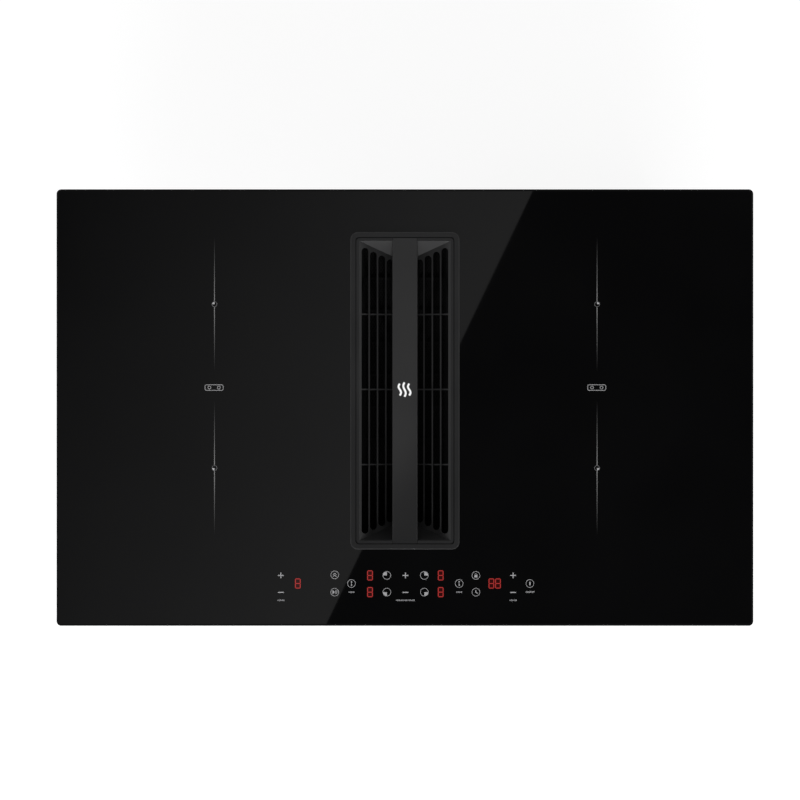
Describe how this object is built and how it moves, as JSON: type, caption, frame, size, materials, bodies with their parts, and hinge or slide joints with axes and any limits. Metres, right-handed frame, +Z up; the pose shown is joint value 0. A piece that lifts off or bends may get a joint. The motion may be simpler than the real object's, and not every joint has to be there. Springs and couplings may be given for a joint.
{
  "type": "downdraft induction cooktop",
  "caption": "Black glass induction cooktop with a central downdraft inlet: lift-out slotted V grille with centre bar, grease filter, blower box, rear flat duct spigot and drip tray.",
  "frame": {"origin": "centre of the glass in plan, on the worktop surface that the glass seal rests on", "axes": "+X to the user's right along the long side, +Y to the back, +Z up out of the glass"},
  "size_m": [0.83, 0.52, 0.212],
  "materials": {
    "black_glass": "polished black ceramic glass",
    "seal_rubber": "foam rubber",
    "inlet_black": "satin black, fine grain",
    "bar_black": "satin black coat",
    "filter_steel": "plain stainless sheet",
    "filter_mesh": "layered expanded mesh",
    "duct_plastic": "moulded dark plastic",
    "tray_plastic": "moulded dark plastic",
    "sheet_steel": "galvanised sheet",
    "zinc_steel": "zinc plated",
    "copper": "enamelled copper litz",
    "carrier_plastic": "glass filled nylon",
    "ferrite": "pressed ferrite",
    "insulation": "mica sheet",
    "aluminium": "mill finish",
    "circuit_board": "solder mask",
    "pale_plastic": "moulded",
    "display_black": "dark filter face",
    "motor_grey": "dip painted"
  },
  "bodies": {
    "base": {"base_plate": "sheet_steel", "blower_box": "sheet_steel", "board_standoffs": "carrier_plastic", "cable_gland": "carrier_plastic", "casing_screws": "zinc_steel", "clamp_brackets": "zinc_steel", "clamp_screws": "zinc_steel", "coil_carriers": "carrier_plastic", "coil_plate_left": "aluminium", "coil_plate_right": "aluminium", "coil_sensors": "pale_plastic", "coil_windings": "copper", "control_board": "circuit_board", "control_carrier": "carrier_plastic", "cooling_housings": "carrier_plastic", "display_modules": "display_black", "duct_gasket": "seal_rubber", "fan_motor": "motor_grey", "ferrites": "ferrite", "glass_seal": "seal_rubber", "glass_top": "black_glass", "heat_sink_left": "aluminium", "heat_sink_right": "aluminium", "inlet_duct": "duct_plastic", "inlet_frame": "inlet_black", "inlet_frame_seal": "seal_rubber", "insulation_sheets": "insulation", "outlet_spigot": "duct_plastic", "plate_posts": "carrier_plastic", "power_board_left": "circuit_board", "power_board_right": "circuit_board", "scroll_cover": "duct_plastic", "scroll_mounts": "seal_rubber", "scroll_shell": "duct_plastic", "terminal_block": "pale_plastic", "terminal_cover": "carrier_plastic", "touch_foams": "seal_rubber", "tray_runners": "duct_plastic", "upper_casing": "sheet_steel"},
    "filter": {"filter_frame": "filter_steel", "filter_mesh": "filter_mesh", "filter_lattice": "filter_steel"},
    "grille": {"grille": "inlet_black", "centre_bar": "bar_black", "bar_screws": "zinc_steel", "grille_pads": "seal_rubber"},
    "impeller": {"impeller": "duct_plastic", "motor_shaft": "zinc_steel"},
    "cooling_rotor_left": {"cooling_rotor_left": "carrier_plastic"},
    "cooling_rotor_right": {"cooling_rotor_right": "carrier_plastic"},
    "drip_tray": {"drip_tray": "tray_plastic"},
    "clamp_arm_front_left": {"clamp_arm_front_left": "zinc_steel"},
    "clamp_arm_front_right": {"clamp_arm_front_right": "zinc_steel"},
    "clamp_arm_back_left": {"clamp_arm_back_left": "zinc_steel"},
    "clamp_arm_back_right": {"clamp_arm_back_right": "zinc_steel"}
  },
  "joints": [
    {"name": "filter_lift", "type": "slide", "parent": "base", "child": "filter", "axis": [0, 0, 1], "range_m": [0, 0.09]},
    {"name": "grille_lift", "type": "slide", "parent": "filter", "child": "grille", "axis": [0, 0, 1], "range_m": [0, 0.08]},
    {"name": "impeller_spin", "type": "hinge", "parent": "base", "child": "impeller", "pos_m": [0.15, -0.06, -0.147], "axis": [0, 0, 1], "continuous": true},
    {"name": "cooling_spin_left", "type": "hinge", "parent": "base", "child": "cooling_rotor_left", "pos_m": [-0.35, 0.13, -0.043], "axis": [0, 0, 1], "continuous": true},
    {"name": "cooling_spin_right", "type": "hinge", "parent": "base", "child": "cooling_rotor_right", "pos_m": [0.35, 0.13, -0.043], "axis": [0, 0, 1], "continuous": true},
    {"name": "drip_tray_slide", "type": "slide", "parent": "base", "child": "drip_tray", "axis": [0, -1, 0], "range_m": [0, 0.2]},
    {"name": "clamp_swing_front_left", "type": "hinge", "parent": "base", "child": "clamp_arm_front_left", "pos_m": [-0.3853, -0.2253, -0.044], "axis": [0, 0, 1], "range_deg": [0, 45]},
    {"name": "clamp_swing_back_left", "type": "hinge", "parent": "base", "child": "clamp_arm_back_left", "pos_m": [-0.3853, 0.2253, -0.044], "axis": [0, 0, -1], "range_deg": [0, 45]},
    {"name": "clamp_swing_front_right", "type": "hinge", "parent": "base", "child": "clamp_arm_front_right", "pos_m": [0.3853, -0.2253, -0.044], "axis": [0, 0, -1], "range_deg": [0, 45]},
    {"name": "clamp_swing_back_right", "type": "hinge", "parent": "base", "child": "clamp_arm_back_right", "pos_m": [0.3853, 0.2253, -0.044], "axis": [0, 0, 1], "range_deg": [0, 45]}
  ]
}
